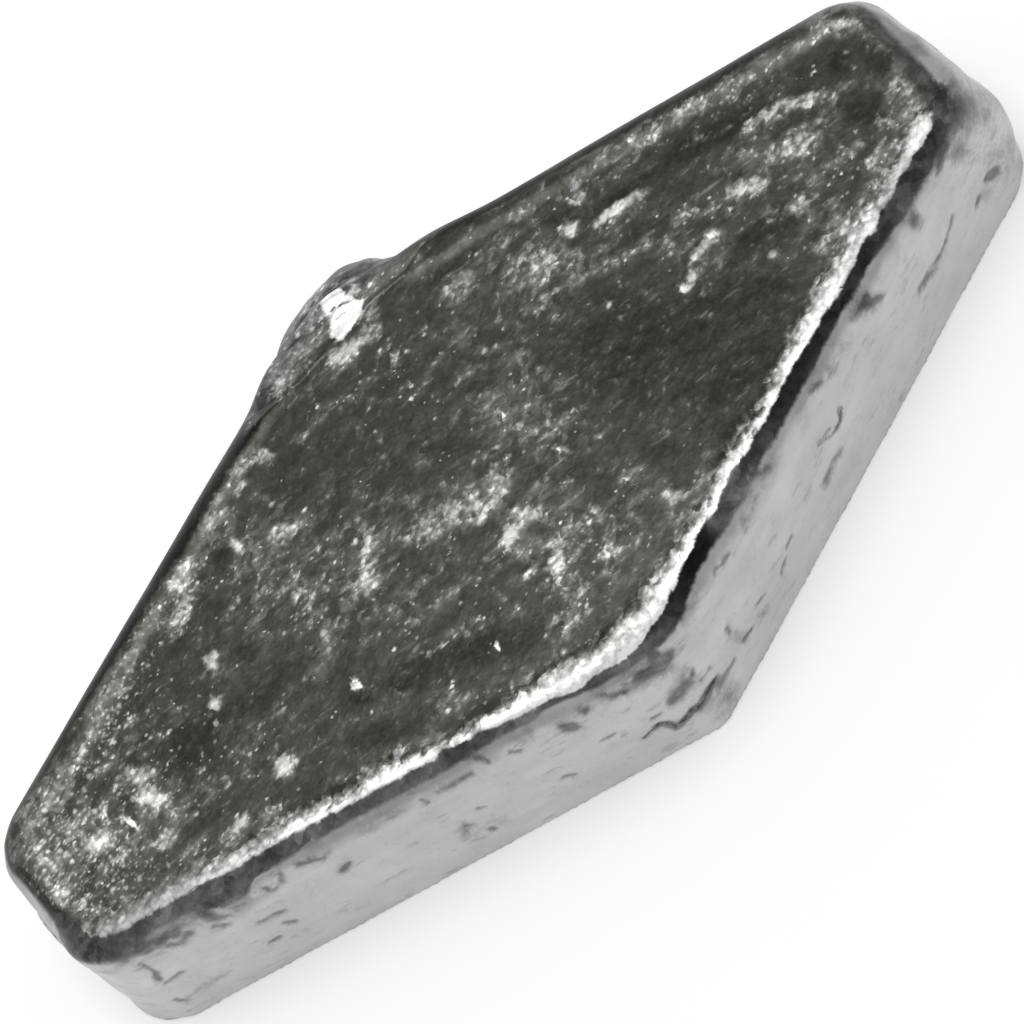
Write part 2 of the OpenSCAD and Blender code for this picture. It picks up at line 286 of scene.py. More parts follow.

# Patches on the casting, placed on the photograph: x, y, half length and half width
# in its pixels, turn in degrees from its x axis, and strength. On the face, PALE are light
# curds, BRIGHT are painted glints and highlights, HAZE is grey bloom, SPARKLE is where the
# small dots of painted glint crowd and DARK is bare ground, with a painted shadow under the
# bead at (358, 698). On the gate's lens and cut facet PALE, BRIGHT and HAZE are painted
# highlight. The patches on the sides are stains, and on the right end's face painted shade.
PALE = (
    (838, 24, 17, 7, 10, 0.8), (845, 55, 13, 8, 20, 0.45), (795, 45, 16, 5, 25, 0.3),
    (745, 82, 28, 8, 15, 0.3), (690, 108, 24, 7, 28, 0.6), (640, 140, 26, 8, 25, 0.3),
    (578, 194, 9, 11, 0, 0.5), (690, 140, 18, 7, 20, 0.5), (617, 207, 38, 6, 34, 1.1),
    (757, 118, 30, 6, 34, 0.9), (805, 100, 30, 8, 10, 0.85), (905, 92, 16, 11, -40, 0.6),
    (880, 122, 9, 7, 0, 0.6), (800, 142, 28, 15, 20, 0.6), (850, 150, 20, 9, 30, 0.3),
    (876, 167, 20, 4, -32, 0.7), (745, 188, 26, 8, 22, 0.8), (800, 182, 34, 12, 10, 0.2),
    (790, 210, 30, 10, 10, 0.45), (872, 222, 12, 12, 0, 1.3), (862, 248, 20, 9, 40, 0.8),
    (886, 192, 11, 22, -30, 0.9), (832, 236, 14, 14, 0, 0.25), (712, 234, 11, 7, 20, 0.8),
    (700, 250, 14, 6, 50, 1.0), (692, 275, 6, 12, 0, 0.9), (702, 290, 4, 10, 0, 0.5),
    (667, 245, 7, 12, 0, 0.5), (693, 210, 7, 6, 0, 0.5), (684, 288, 7, 6, 0, 0.8),
    (690, 163, 22, 3, 40, 0.35), (640, 320, 5, 8, -10, 0.4), (775, 254, 12, 6, -10, 0.65),
    (570, 226, 10, 10, 0, 1.0), (610, 262, 44, 5, 28, 0.45), (540, 262, 32, 18, -10, 0.6),
    (540, 305, 30, 14, -10, 0.3), (500, 240, 18, 9, 30, 0.4), (460, 285, 26, 14, 0, 0.35),
    (612, 308, 14, 4, -55, 0.6), (838, 258, 20, 14, 50, 0.45), (820, 308, 22, 12, 60, 0.9),
    (788, 332, 14, 9, 60, 0.5), (590, 180, 50, 10, 32, 0.3), (545, 405, 40, 20, 0, 0.1),
    (542, 430, 36, 6, -15, 0.25), (557, 447, 9, 4, -10, 0.8), (462, 502, 44, 10, 14, 0.45),
    (482, 508, 13, 10, 10, 0.6), (509, 536, 11, 12, 0, 1.0), (524, 511, 16, 9, 0, 0.6),
    (430, 528, 32, 12, 20, 0.6), (497, 474, 14, 22, 0, 0.6), (555, 555, 7, 24, 5, 0.7),
    (574, 588, 26, 30, 0, 0.34), (605, 552, 14, 10, -50, 0.45), (630, 528, 18, 14, -30, 0.2),
    (590, 516, 30, 10, 10, 0.35), (530, 572, 12, 4, 45, 0.9), (672, 494, 12, 9, 0, 0.8),
    (630, 478, 16, 9, 0, 0.4), (558, 622, 20, 12, 0, 0.42), (438, 600, 36, 4, 35, 0.35),
    (437, 648, 14, 3, 20, 0.6), (465, 634, 4, 6, 0, 0.6), (680, 400, 12, 5, 45, 0.5),
    (617, 378, 7, 5, 0, 0.8), (280, 537, 12, 16, 0, 0.5), (285, 526, 6, 4, 0, 0.7),
    (366, 546, 11, 34, 5, 0.5), (366, 585, 12, 16, 0, 0.6), (300, 592, 11, 24, 15, 0.45),
    (265, 590, 30, 26, 70, 0.2), (181, 578, 10, 24, -25, 0.8), (180, 614, 8, 26, -20, 0.6),
    (212, 661, 10, 14, 0, 1.0), (236, 546, 12, 5, -45, 0.8), (210, 522, 6, 22, -28, 0.45),
    (238, 484, 6, 18, -28, 0.25), (260, 456, 14, 8, 20, 0.75), (372, 312, 9, 14, 0, 0.5),
    (446, 706, 20, 10, 20, 0.8), (134, 774, 15, 13, 0, 0.8), (160, 802, 18, 10, -20, 0.65),
    (146, 796, 14, 10, 0, 0.8), (122, 856, 20, 8, 30, 0.5), (98, 842, 16, 10, 45, 0.9),
    (103, 818, 4, 14, 0, 0.6), (44, 864, 34, 14, -60, 0.4), (64, 842, 14, 22, -10, 0.4),
    (128, 820, 10, 4, -30, 1.0), (282, 764, 12, 12, 0, 1.0), (240, 820, 8, 10, 0, 0.6),
    (165, 842, 12, 10, 0, 0.8), (214, 703, 9, 8, 0, 0.95), (216, 722, 5, 5, 0, 0.8),
    (227, 755, 5, 10, -30, 0.5), (225, 780, 5, 10, -20, 0.6), (322, 645, 8, 16, 0, 0.45),
    (398, 690, 7, 6, 0, 0.45), (86, 738, 50, 6, 62, 0.4), (112, 680, 36, 6, 60, 0.1),
    # Most patches in the next three rows lie on the gate's lens and cut facet, and are painted highlight
    # there
    (342, 353, 18, 9, 30, 1.35), (360, 337, 14, 8, 45, 0.5), (394, 356, 6, 12, 0, 0.7),
    (420, 400, 34, 16, 30, 0.2), (279, 386, 14, 9, 50, 0.8), (360, 286, 18, 7, 42, 0.15),
    (317, 315, 14, 8, 50, 1.0), (333, 301, 14, 6, 45, 0.6), (352, 290, 10, 6, 45, 0.35),
    (100, 905, 50, 10, 25, 0.12), (262, 879, 16, 4, 30, 0.8), (167, 933, 10, 3, 35, 0.8),
    (236, 826, 14, 9, 35, 0.4), (680, 540, 16, 10, 30, 0.5), (559, 716, 18, 9, 15, 0.8),
    (596, 676, 20, 4, 14, 0.6), (62, 900, 8, 10, 0, 0.5),
)
BRIGHT = (
    (351, 311, 16, 9, 48, 1.1), (340, 327, 14, 9, 55, 1.1), (338, 306, 17, 11, 45, 1.0),
    (917, 132, 9, 24, -22, 1.0), (900, 168, 6, 14, -28, 0.7), (354, 684, 8, 5, -20, 0.9),
    (497, 646, 5.5, 2.4, -55, 0.9), (500, 413, 6, 2.5, -60, 0.8), (557, 448, 5, 2.5, -10, 0.8),
    (606, 554, 5, 4, -60, 0.8), (713, 234, 8, 4, 20, 0.9), (130, 822, 8, 3.5, -35, 1.1),
    (684, 289, 5, 4, 0, 0.7), (487, 509, 9, 4, 20, 0.5), (527, 573, 7, 2.5, 45, 0.8),
    (667, 492, 5, 3, 0, 0.7), (98, 842, 8, 4, 45, 0.7), (137, 799, 7, 2.5, -40, 0.7),
    (588, 682, 14, 3, 14, 0.8), (105, 815, 2.5, 7, 20, 0.6),
)
HAZE = (
    (640, 135, 56, 12, 28, 0.5), (760, 150, 50, 24, 25, 0.5), (800, 150, 50, 24, 20, 0.3),
    (620, 250, 60, 20, 30, 0.35), (790, 212, 50, 22, 15, 0.4), (835, 235, 30, 30, 40, 0.5),
    (550, 265, 44, 40, 0, 0.5), (885, 85, 34, 16, -30, 0.5), (905, 105, 20, 28, -30, 0.5),
    (890, 165, 16, 30, -30, 0.5), (750, 72, 50, 12, 25, 0.2), (520, 425, 50, 30, -10, 0.4),
    (440, 528, 56, 20, 20, 0.35), (520, 510, 56, 36, 10, 0.45), (560, 545, 56, 46, 0, 0.35),
    (540, 375, 40, 14, -30, 0.4), (322, 640, 12, 46, 0, 0.5), (490, 360, 40, 60, 0, 0.35),
    (490, 270, 40, 25, 0, 0.35), (270, 520, 50, 26, 0, 0.3), (348, 348, 40, 16, 35, 0.6),
    (380, 510, 44, 24, 0, 0.45), (115, 845, 86, 40, 30, 0.6), (140, 780, 34, 24, 0, 0.3),
    (350, 560, 30, 56, 0, 0.4), (56, 850, 30, 60, -20, 0.8), (26, 864, 22, 34, -20, 1.2),
    (84, 905, 56, 22, -10, 0.4), (235, 840, 50, 24, 28, 0.6), (150, 900, 70, 22, 30, 0.35),
    (92, 735, 60, 10, 60, 0.3), (620, 600, 56, 60, 50, 0.08), (640, 540, 44, 40, 0, 0.2),
    (180, 612, 12, 40, -20, 0.5), (240, 535, 50, 24, -20, 0.25), (310, 550, 40, 40, 0, 0.25),
    (440, 742, 50, 20, 20, 0.6), (360, 776, 40, 12, 20, 0.4), (690, 508, 30, 14, 40, 0.4),
    (250, 570, 30, 30, 0, 0.35), (150, 812, 30, 20, 0, 0.25), (345, 625, 60, 14, 0, 0.2),
    (440, 492, 40, 14, 10, 0.3), (895, 150, 26, 40, -20, 0.3), (165, 800, 34, 20, 0, 0.2),
    (715, 250, 30, 50, -10, 0.3), (290, 372, 36, 12, 52, 1.0), (160, 580, 8, 30, -28, 0.5),
    (440, 470, 30, 30, 0, 0.3), (610, 330, 40, 30, 0, 0.15),
)
SPARKLE = (
    (75, 850, 62, 40, 60, 0.9), (110, 885, 62, 22, 30, 0.9), (165, 775, 60, 44, 30, 0.45),
    (232, 845, 50, 18, 30, 0.5), (105, 740, 56, 14, 60, 0.9), (130, 690, 50, 12, 60, 0.6),
    (250, 740, 60, 36, 20, 0.35), (180, 600, 26, 60, -30, 0.5), (310, 570, 70, 50, 0, 0.25),
    (440, 660, 60, 24, 20, 0.1), (840, 170, 60, 50, 0, 0.25), (400, 400, 60, 40, 0, 0.2),
    (350, 300, 40, 16, 45, 0.5), (395, 352, 20, 20, 0, 0.6), (750, 95, 60, 12, 25, 0.5),
    (480, 640, 50, 30, 20, 0.15), (640, 240, 90, 30, 30, 0.15), (560, 560, 50, 60, 0, 0.3),
)
DARK = (
    (705, 140, 60, 13, 32, 1.0), (838, 62, 14, 12, 0, 0.9), (862, 112, 24, 14, -10, 0.9),
    (770, 226, 46, 14, 25, 0.9), (735, 335, 80, 50, 60, 1.0), (640, 350, 90, 66, 0, 0.9),
    (665, 455, 26, 20, 0, 0.7), (878, 60, 30, 12, -50, 0.8), (222, 550, 8, 14, -20, 0.8),
    (246, 652, 14, 16, 0, 0.8), (190, 745, 44, 24, 20, 0.8), (430, 665, 70, 18, 25, 1.0),
    (400, 760, 30, 9, 20, 0.6), (520, 640, 50, 22, 25, 0.6), (250, 700, 50, 16, 30, 0.6),
    (355, 470, 90, 50, 30, 0.35), (610, 200, 60, 5, 34, 0.7), (560, 212, 24, 7, 30, 0.7),
    (368, 262, 12, 9, 20, 1.6), (415, 250, 30, 8, 30, 0.9), (605, 622, 14, 38, 10, 0.7),
    (738, 428, 12, 20, -30, 0.9), (724, 450, 10, 22, -30, 0.8), (440, 270, 36, 10, 30, 0.5),
    # (358, 698) is a painted shadow under the bead whose painted highlight is BRIGHT's (354, 684)
    (358, 698, 12, 4, -15, 1.3), (265, 405, 14, 8, 60, 1.0), (755, 295, 40, 12, 25, 0.6),
    (640, 230, 30, 8, 30, 0.6), (345, 790, 60, 12, 28, 0.7), (390, 730, 50, 14, 20, 0.7),
    (540, 470, 12, 10, 0, 0.6), (585, 470, 30, 14, 0, 0.5),
)
STAINS_AND_SHADE = (
    # The first six patches, on the right end's face, are painted shade; the rest are stains
    (962, 98, 20, 20, -40, 0.5), (957, 134, 19, 24, 0, 0.55), (985, 104, 14, 12, 0, 0.4),
    (1003, 158, 10, 16, 20, 0.25), (945, 72, 12, 8, -40, 0.3), (995, 152, 22, 26, 0, 0.2),
    (985, 96, 7, 5, 0, 0.9), (872, 303, 10, 8, 50, 0.6), (916, 221, 6, 7, 0, 0.9),
    (654, 656, 6, 11, 45, 0.8), (665, 664, 10, 9, 45, 0.6), (648, 672, 18, 10, 30, 0.5),
    (632, 686, 20, 7, 28, 0.5), (676, 694, 9, 7, 45, 0.6), (688, 678, 8, 9, 30, 0.55),
    (720, 704, 18, 16, 0, 0.45), (735, 690, 7, 12, -30, 0.4), (688, 612, 6, 12, -30, 0.5),
    (739, 636, 8, 6, 0, 0.6), (985, 195, 8, 4, 60, 0.5), (965, 157, 8, 8, 0, 0.35),
    (992, 176, 6, 4, 45, 0.7), (940, 158, 5, 14, -10, 0.35), (840, 345, 9, 7, 0, 0.35),
    (757, 499, 10, 4, 70, 0.4), (744, 526, 14, 5, 62, 0.4), (699, 601, 5, 6, 0, 0.5),
    (764, 611, 12, 4, 60, 0.5), (624, 735, 4, 3, 0, 0.6), (527, 737, 8, 7, 20, 0.6),
    (498, 824, 14, 6, 20, 0.35), (469, 831, 9, 8, 0, 0.4), (570, 728, 9, 4, 20, 0.6),
    (112, 958, 18, 8, -10, 0.7), (132, 950, 16, 7, 20, 0.6), (190, 925, 24, 9, 28, 0.4),
    (241, 900, 18, 7, 28, 0.5), (345, 869, 6, 5, 0, 0.4), (367, 830, 8, 5, 20, 0.4),
    (392, 815, 12, 4, 15, 0.5), (465, 830, 4, 8, 0, 0.4), (157, 978, 8, 5, -40, 0.4),
    (209, 984, 20, 2.5, 30, 0.5), (955, 110, 6, 12, -30, 0.4), (830, 372, 14, 5, 61, 0.3),
)

# Lines: half width in mm, and the photograph's pixels that they pass through. SMEARS stain
# the sides, CRACKS are sunken, with painted shade along them, and SEAMS are pale.
SMEARS = (
    (0.12, ((601, 696), (613, 697), (626, 694))),
    (0.18, ((641, 677), (650, 673), (660, 666), (667, 659), (670, 653))), (0.1, ((580, 710), (585, 713))),
    (0.14, ((566, 727), (576, 730))), (0.1, ((651, 719), (660, 715))),
    (0.18, ((659, 726), (668, 725), (677, 727), (687, 720), (694, 711), (701, 707), (708, 696), (714, 684))),
    (0.07, ((694, 670), (693, 678))), (0.08, ((711, 667), (705, 677), (702, 682))),
    (0.2, ((687, 687), (672, 703))), (0.2, ((721, 684), (726, 677))), (0.1, ((728, 628), (730, 633))),
    (0.1, ((713, 573), (720, 566), (728, 554))), (0.13, ((812, 390), (821, 382))),
    (0.16, ((761, 473), (768, 469))), (0.2, ((827, 481), (831, 471))), (0.18, ((834, 462), (841, 452))),
    (0.09, ((787, 548), (791, 537))), (0.1, ((782, 574), (785, 561))),
    (0.07, ((817, 444), (826, 435), (830, 429))), (0.1, ((837, 429), (842, 418), (839, 409))),
    (0.14, ((920, 288), (928, 277), (936, 269))), (0.1, ((952, 218), (945, 245), (932, 275))),
    (0.12, ((925, 285), (938, 258))), (0.12, ((851, 320), (861, 307), (866, 297))),
    (0.14, ((865, 304), (882, 298))), (0.13, ((988, 179), (995, 172))), (0.13, ((978, 205), (980, 199))),
    (0.12, ((945, 142), (938, 172))), (0.12, ((265, 888), (274, 892), (282, 884), (280, 876))),
    (0.13, ((260, 923), (274, 915), (284, 912))), (0.13, ((285, 923), (295, 921))),
    (0.08, ((269, 944), (281, 937))), (0.18, ((215, 926), (224, 926))),
    (0.13, ((297, 865), (310, 861), (323, 859))), (0.13, ((342, 872), (349, 865))),
    (0.13, ((139, 946), (143, 942))), (0.15, ((147, 951), (153, 948))),
    (0.18, ((159, 943), (165, 938), (176, 935))), (0.18, ((169, 946), (181, 944), (189, 934))),
    (0.2, ((205, 913), (213, 918), (226, 917))), (0.13, ((138, 951), (147, 947), (155, 942))),
    (0.1, ((140, 965), (153, 971), (160, 981))), (0.11, ((167, 983), (181, 973))),
    (0.16, ((177, 1000), (186, 1002))), (0.11, ((470, 758), (480, 758), (488, 763))),
    (0.15, ((439, 792), (454, 785), (470, 775))), (0.13, ((511, 752), (519, 751))),
    (0.2, ((564, 726), (578, 730))), (0.15, ((580, 711), (586, 711))), (0.11, ((564, 778), (574, 775))),
    (0.1, ((422, 800), (428, 803))), (0.09, ((478, 810), (485, 808))), (0.1, ((490, 829), (497, 830))),
    (0.1, ((735, 660), (728, 672))), (0.08, ((756, 606), (764, 596))), (0.09, ((745, 640), (752, 628))),
    (0.1, ((602, 740), (612, 736))),
)
CRACKS = (
    (0.13, ((262, 408), (285, 392), (308, 366))), (0.07, ((308, 366), (321, 352), (338, 341), (352, 328))),
    (0.055, ((644, 738), (653, 730), (659, 725), (667, 724), (677, 728), (686, 720), (693, 711),
                (700, 708), (706, 701), (709, 693), (714, 684), (718, 677))),
    (0.09, ((18, 868), (31, 881), (41, 893), (49, 902), (57, 911), (62, 914))),
    (0.05, ((331, 313), (343, 304), (352, 299))), (0.045, ((333, 321), (344, 312), (354, 306))),
    (0.025, ((842, 408), (841, 423), (833, 434), (818, 447))),
)
SEAMS = (
    (0.06, ((358, 318), (366, 305), (385, 289), (404, 275))),
    (0.03, ((530, 369), (545, 381), (561, 399), (579, 412))), (0.035, ((505, 426), (524, 430), (547, 435))),
    (0.03, ((430, 652), (441, 647), (448, 640))), (0.02, ((556, 386), (575, 372), (590, 368))),
)


# Fields painted on the casting through the camera
PATCH_DEPTH = 0.8
NO_LINE = 9.0


def photo_ray(px, py):
    across, down = px - PHOTO_PX / 2, py - PHOTO_PX / 2
    return (RIGHT * across - UP * down - BACK * FOCAL_PX).normalized()


def patch_field(points, surface, patches, spread=1.0):
    """Sum of soft ellipses laid on the surface where the camera's rays meet it."""
    total = np.zeros(len(points))
    for px, py, half_long, half_wide, turn, strength in patches:
        centre, normal, _, _ = surface.ray_cast(EYE, photo_ray(px, py))
        if centre is None:
            continue
        turn = math.radians(turn)
        axes = []
        for reach, angle in ((half_long * spread, turn), (half_wide * spread, turn + math.pi / 2)):
            ray = photo_ray(px + reach * math.cos(angle), py - reach * math.sin(angle))
            edge = EYE + ray * ((centre - EYE).dot(normal) / ray.dot(normal))
            axes.append(np.array(edge - centre))
        away = points - np.array(centre)
        depth = away @ np.array(normal)
        inside = ((away @ np.linalg.pinv(np.array(axes))) ** 2).sum(1)
        total += strength * np.exp(-inside ** 1.5) * bell(depth, 0, PATCH_DEPTH)
    return total


def line_field(points, surface, lines):
    """Distance to the nearest line over its half width, at most NO_LINE."""
    nearest = np.full(len(points), NO_LINE)
    for half_width, pixels in lines:
        hits = [surface.ray_cast(EYE, photo_ray(px, py))[0] for px, py in pixels]
        route = [np.array(hit) for hit in hits if hit is not None]
        for a, b in zip(route, route[1:]):
            share = np.clip((points - a) @ (b - a) / ((b - a) @ (b - a)), 0, 1)
            away = np.linalg.norm(points - a - share[:, None] * (b - a), axis=1)
            nearest = np.minimum(nearest, away / half_width)
    return nearest


# Meshes
def mesh_arrays(obj):
    """The mesh's points in mm, and its normals there."""
    n = len(obj.data.vertices)
    points, normals = np.zeros(n * 3), np.zeros(n * 3)
    obj.data.vertices.foreach_get("co", points)
    obj.data.vertices.foreach_get("normal", normals)
    return points.reshape(-1, 3) / MM, normals.reshape(-1, 3)


def store(obj, name, values):
    obj.data.attributes.new(name, "FLOAT", "POINT").data.foreach_set("value", values.astype(np.float32))


def remeshed_copy(node, name, voxel, smoothing):
    """A copy of a CAD node's mesh in even cells of voxel mm, relaxed by rounds of smoothing."""
    obj = add_object(name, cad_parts[node].data.copy())
    obj.data.materials.clear()
    remesh = obj.modifiers.new("remesh", "REMESH")
    remesh.mode = "VOXEL"
    remesh.voxel_size = voxel * MM
    remesh.use_smooth_shade = True
    relax = obj.modifiers.new("relax", "SMOOTH")
    relax.factor, relax.iterations = 0.5, smoothing
    bpy.context.view_layer.update()
    done = bpy.data.meshes.new_from_object(obj.evaluated_get(bpy.context.evaluated_depsgraph_get()))
    obj.modifiers.clear()
    obj.data = done
    return obj


def push_out(obj, points, normals, out):
    """Moves the skin along its normals, and keeps it inside the CAD model's box."""
    low, high = (np.array(corner) / MM for corner in cad_box)
    moved = np.clip(points + normals * out[:, None], low, high)
    obj.data.vertices.foreach_set("co", (moved * MM).ravel())
    obj.data.update()


# Reliefs: how far the casting's skin stands out, in mm
CRACK_DEPTH = 0.05
# Where the two ends' relief starts and is full along the casting
END_FROM, END_FULL = 22.8, 23.6


def face_relief(points, profile, pale):
    """The sunken face: gentle waves, and curdled crystals where it is pale."""
    sink, wave, grain = 0.10, 0.03, 0.014
    curd, curd_grain = 0.02, 0.025
    face = smooth_step(-profile, -0.1, 0.6)
    out = -sink + wave * cloud_noise(points, 2.4, seed=21) + grain * cloud_noise(points, 0.6, 31, 2)
    out += np.clip(pale, 0, 1) * (curd + curd_grain * cloud_noise(points, 0.4, 41, 2))
    return face * out


def rim_relief(points, profile, rim):
    """Beads on the bright edge, where a highlight with some wear is painted, and the hollow under it, which
    fades out on the far side.
    """
    bead, bead_swing, sink, sink_swing = 0.05, 0.05, 0.07, 0.05
    highlight_and_wear = smooth_step(profile, rim.bright_from - 0.3, rim.bright_from + 0.2)
    highlight_and_wear *= smooth_step(-profile, -rim.bright_to - 0.2, -rim.bright_to + 0.1) * rim.gleam
    out = highlight_and_wear * (bead + bead_swing * cloud_noise(points, 0.55, 51, 2))
    middle = (np.maximum(rim.bright_to, 0) + rim.hollow_to) / 2 + 0.1
    hollow = bell(profile, middle, 0.3) * smooth_step(-points[:, 1], 1.0, 3.5)
    return out - hollow * (sink + sink_swing * cloud_noise(points, 1.6, 71, 2))


def side_relief(points, profile, stain):
    """The sides: nearly smooth, with sunken stains and a faint draw in the back."""
    wave, stain_sink, draw = 0.025, 0.05, 0.10
    draw_middle, draw_half = 12.5, 11
    x, y, z = points.T
    side = smooth_step(profile, 1.6, 2.4) * (z > 0.1)
    out = wave * cloud_noise(points * (0.5, 0.5, 1), 1.4, seed=91)
    out -= stain_sink * smooth_step(stain, 0.3, 0.8)
    out -= draw * (y > 0) * np.clip(1 - ((np.abs(x) - draw_middle) / draw_half) ** 2, 0, 1)
    return side * out


def end_relief(points, profile):
    """Lumps at the two ends, and the bite out of the right end's rim."""
    lump, bite, wave = 0.50, 0.22, 0.10
    x, y, z = points.T
    right, left = smooth_step(x, END_FROM, END_FULL), smooth_step(-x, END_FROM, END_FULL)
    out = right * lump * bell(y, -3.1, 1.4) * bell(z, 3.4, 2.2)
    out -= right * bite * bell(y, 0.6, 1.2) * bell(profile, 0.6, 0.5)
    out += (right + left) * smooth_step(profile, 0.5, 1.4) * wave * cloud_noise(points, 1.5, 131, 2)
    return out


# The swells beside the gate's raised edge: the height, the middle and half width in x, and
# where each starts and is full in y and in z
GATE_SWELLS = (
    (0.20, -3.0, 1.5, 9.2, 10.2, 3.0, 5.0),
    (0.16, 5.6, 1.8, 7.5, 9.0, 3.5, 5.5),
    (0.10, -2.4, 1.6, FACET_Y + 0.1, FACET_Y + 0.7, 4.5, 5.5),
)


def gate_relief(points):
    """The cropped gate's knob and raised outer edge, and the swells beside them."""
    knob, knob_x, knob_z = 0.34, 3.0, 5.6
    raised, edge_left, edge_right = 0.80, -3.4, 3.4
    x, y, z = points.T
    out = knob * bell(x, knob_x, 0.5) * bell(z, knob_z, 0.9) * (y > 9)
    edge = raised * smooth_step(x, edge_left, 0.6) * smooth_step(-x, -edge_right, -1.8)
    out += edge * smooth_step(y, 10.2, 11.3) * smooth_step(z, 3.0, 5.0)
    for height, middle, half, y_from, y_full, z_from, z_full in GATE_SWELLS:
        swell = height * bell(x, middle, half)
        out += swell * smooth_step(y, y_from, y_full) * smooth_step(z, z_from, z_full)
    return out


def rim_look(station):
    """The rim's look at each station, one array for each of the table's columns."""
    stations, *columns = np.array(RIM).T
    looks = {name: np.interp(station, stations, column) for name, column in zip(RIM_COLUMNS, columns)}
    return SimpleNamespace(**looks)


def gate_mask(points, normals):
    """1 on the gate's broken top, which has the face's look, and 0 off it."""
    half_wide, lowest = 6.0, 2.5
    x, y, z = points.T
    gate = smooth_step(y, FACET_Y - 0.1, FACET_Y + 0.1) * smooth_step(normals[:, 2], 0.15, 0.4)
    return gate * (smooth_step(z, lowest, lowest + 1) * smooth_step(half_wide - np.abs(x), 0, 1))


def painted_fields(points, surface, profile, rim):
    """The patches and lines of the tables, with ragged edges, at each point."""
    ragged = wander(points, 0.7, 0.12, seeds=(1, 2, 3))
    torn = wander(points, 0.35, 0.10, seeds=(4, 5, 6))
    beside_rim = smooth_step(profile - rim.haze_from, -0.25, 0.35)
    rim_haze = beside_rim * (0.5 + 0.5 * cloud_noise(points, 1.3, seed=161))
    smears = bell(line_field(torn, surface, SMEARS), 0, 1.5)
    return SimpleNamespace(
        pale=patch_field(ragged, surface, PALE),
        bright=patch_field(ragged * 0.5 + points * 0.5, surface, BRIGHT),
        dark=patch_field(ragged, surface, DARK),
        haze=patch_field(ragged, surface, HAZE) + rim_haze,
        sparkle=patch_field(points, surface, SPARKLE),
        # Stains, with painted shade on the right end's face
        stain=patch_field(torn, surface, STAINS_AND_SHADE, spread=1.4) + 0.9 * smears,
        crack=line_field(points * 0.7 + ragged * 0.3, surface, CRACKS),
        seam=line_field(points, surface, SEAMS),
    )


def casting_relief(points, normals, profile, rim, painted):
    """How far each point of the casting is moved out, with none in the bore and the seats."""
    bore_room, seat_room, base_skin = 1.45, 0.2, 0.02
    from_axis = np.hypot(points[:, 1], points[:, 2] - AXIS_Z)
    in_seat = (from_axis < SEAT_R + seat_room) & (np.abs(points[:, 0]) > HALF_LEN - SEAT_DEPTH - 0.3)
    above = 0.04 * cloud_noise(points, 5.0, 11, 2) + face_relief(points, profile, painted.pale)
    around = side_relief(points, profile, painted.stain) + end_relief(points, profile)
    gate = gate_relief(points) - CRACK_DEPTH * bell(painted.crack, 0, 1.3)
    out = above + rim_relief(points, profile, rim) + (around + gate)
    out = np.where((from_axis < bore_room) | in_seat, 0, out)
    base = (normals[:, 2] < -0.7) & (points[:, 2] < 0.3)
    return np.where(base, -base_skin + base_skin * cloud_noise(points, 1.0, seed=121), out)


def build_casting():
    """The casting with its relief, and the names of the fields stored on its points."""
    body = remeshed_copy("cast_body", "cast_lead_body", voxel=0.13, smoothing=3)
    points, normals = mesh_arrays(body)
    corners = [tuple(polygon.vertices) for polygon in body.data.polygons]
    surface = BVHTree.FromPolygons([Vector(point) for point in points], corners)
    profile, station = place_on_casting(points)
    rim = rim_look(station)
    painted = painted_fields(points, surface, profile, rim)
    push_out(body, points, normals, casting_relief(points, normals, profile, rim, painted))

    # Under the bright edge the face's look runs on to the edge's middle
    edge_middle = (rim.bright_from + rim.bright_to) / 2
    face_end = rim.face_to + rim.gleam * np.maximum(edge_middle - rim.face_to, 0)
    fields = {
        "past_face": profile - face_end,
        "past_bright": profile - rim.bright_from,
        "to_bright": rim.bright_to - profile,
        "gleam": rim.gleam,
        # The dark band under the rim is painted shade: where it ends, and its tone
        "to_hollow": rim.hollow_to - profile,
        "hollow_tone": rim.hollow_tone,
        "profile": profile,
        "fade": 0.11 + 0.10 * smooth_step(np.abs(points[:, 0]), END_FROM, END_FROM + 1),
        "gate": gate_mask(points, normals),
        **vars(painted),
    }
    for name, values in fields.items():
        store(body, name, values)
    return body, list(fields)


def build_collar(side):
    """A pressed collar, its edges softened by wear and slightly dented."""
    dent, wear = 0.02, 0.01
    collar = remeshed_copy(f"{side}_collar", f"{side}_collar_pressed", voxel=0.05, smoothing=4)
    points, normals = mesh_arrays(collar)
    push_out(collar, points, normals, dent * cloud_noise(points, 0.8, seed=151) - wear)
    return collar


body, body_fields = build_casting()
collars = {side: build_collar(side) for side in ("left", "right")}
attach(body, "root")
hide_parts("cast_body")
for side, collar in collars.items():
    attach(collar, "root")
    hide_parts(f"{side}_collar")


# Materials. A tone is a grey as the eye sees it, 0 to 1.
# FACE_TONE and SIDE_TONE are painted reflection: the face dark for the dark room, the sides pale for the pale
# floor. SHINE_TONE is the base of the rim's painted highlight
FACE_TONE, SIDE_TONE, SHINE_TONE = 0.285, 0.76, 0.36
# DOT_TONE and GLINT_TONE are painted glints, and CRACK_TONE is painted shade in the cracks
DOT_TONE, GLINT_TONE, SEAM_TONE, CRACK_TONE = 0.90, 0.95, 0.75, 0.22
# The rim's rounding faces a darker part of the room, so its tones are painted lighter by this share
SHADE_BAND_LIFT = 1.3
WHITE, COOL_GREY = (1.0, 1.0, 1.0), (0.985, 0.985, 1.0)


